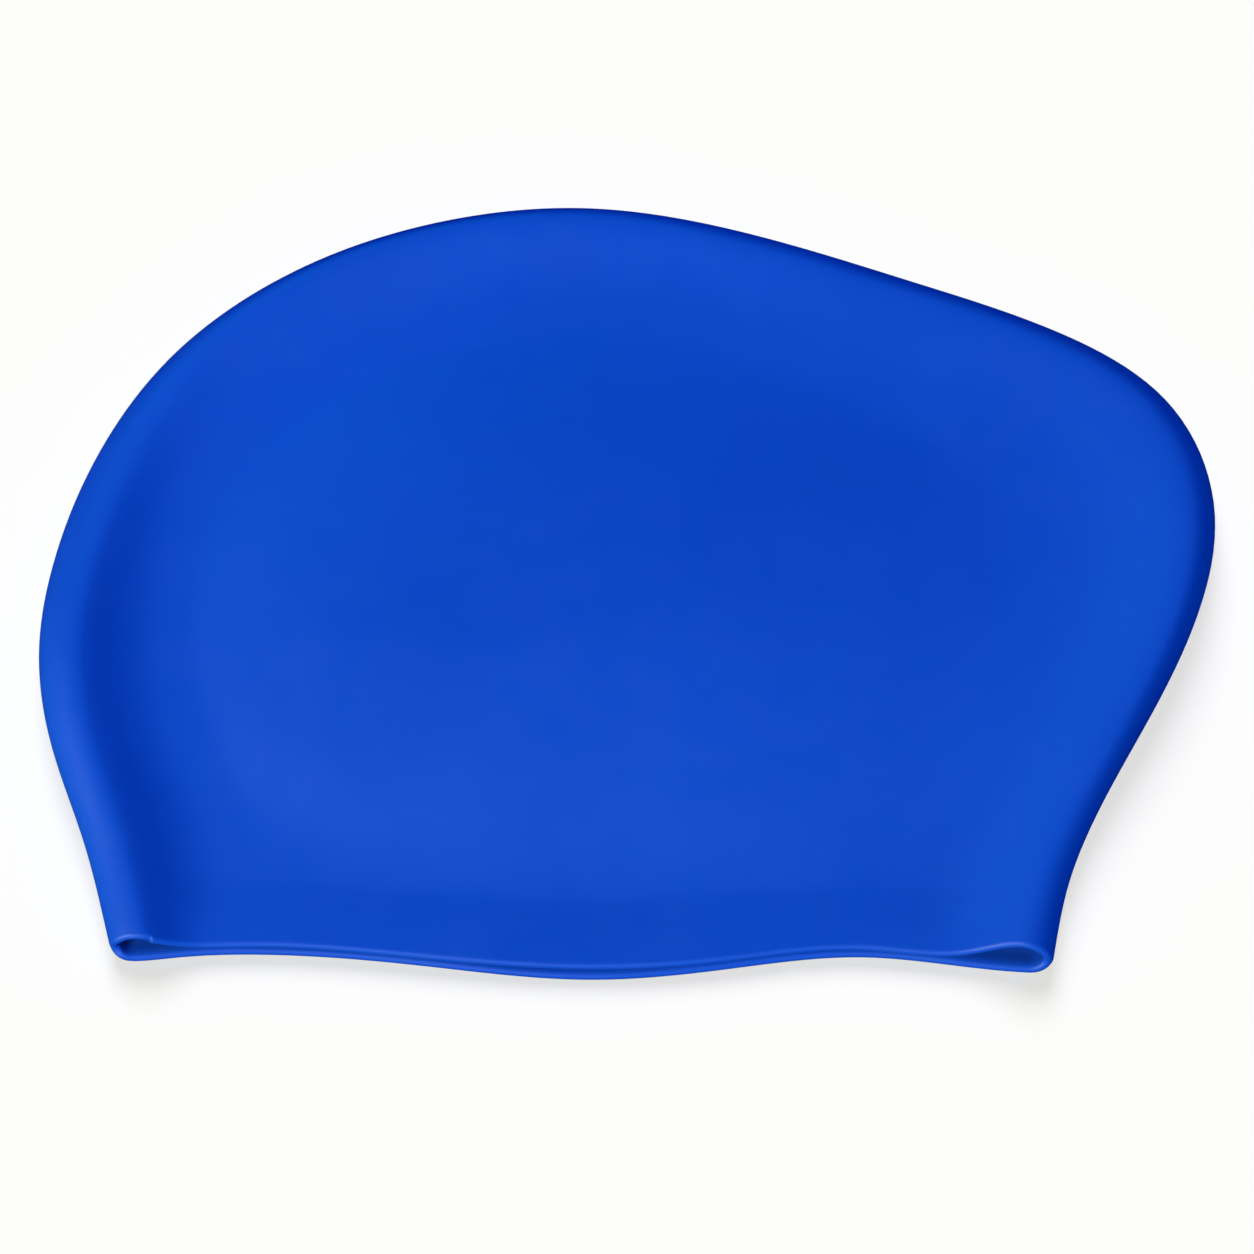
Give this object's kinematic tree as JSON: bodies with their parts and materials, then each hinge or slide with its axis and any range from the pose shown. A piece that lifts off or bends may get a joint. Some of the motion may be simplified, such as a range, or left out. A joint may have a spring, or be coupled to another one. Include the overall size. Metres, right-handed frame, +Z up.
{
  "type": "swim cap",
  "caption": "Long-hair silicone swim cap lying flat on its side, with a rounded fold all round, a beaded wavy rim and open loops at both rim corners.",
  "frame": {"origin": "on the table under the middle of the flattened cap's box", "axes": "+X from the forehead edge to the nape edge, +Y from the mouth to the crown, +Z up from the sheet that lies on the table"},
  "size_m": [0.2592, 0.182, 0.0149],
  "materials": {
    "silicone": "satin moulded silicone"
  },
  "bodies": {
    "root": {"cap_shell": "silicone"}
  },
  "joints": []
}
